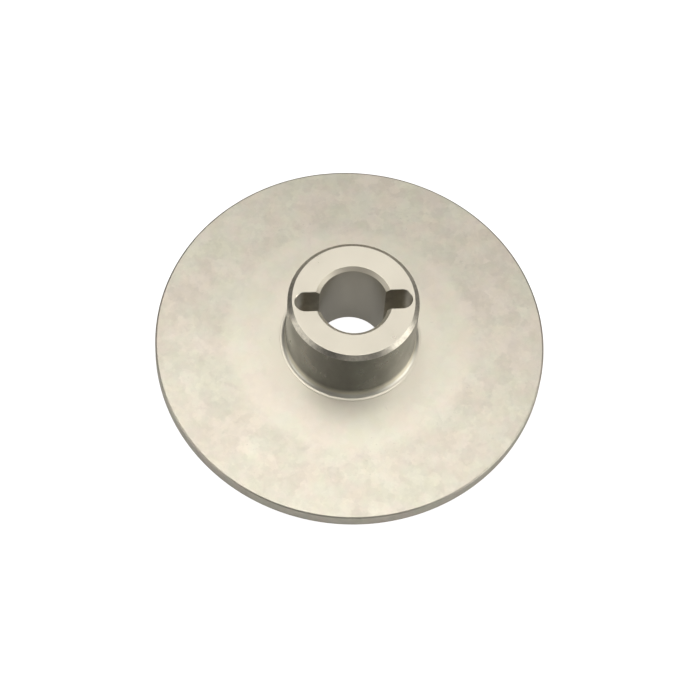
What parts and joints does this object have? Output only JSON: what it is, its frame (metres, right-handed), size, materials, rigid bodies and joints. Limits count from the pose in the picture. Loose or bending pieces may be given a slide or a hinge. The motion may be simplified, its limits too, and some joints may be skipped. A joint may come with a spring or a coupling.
{
  "type": "banding wheel head",
  "caption": "Flat round metal wheel head with a raised central hub, a through bore for a spindle and drive slots across the hub's face.",
  "frame": {"origin": "middle of the disc's flat working face, which lies on z = 0, on the axis of the bore", "axes": "+Z along the bore's axis from the working face towards the hub's slotted face, X along the two drive slots, Y across them"},
  "size_m": [0.1524, 0.1524, 0.04],
  "materials": {
    "disc_metal": "matt cast and blasted skin, slightly blotchy, with fine specks",
    "hub_metal": "turned, semi-gloss, with fine tool marks round the axis"
  },
  "bodies": {
    "root": {"wheel_disc": "disc_metal", "slotted_hub": "hub_metal"}
  },
  "joints": []
}
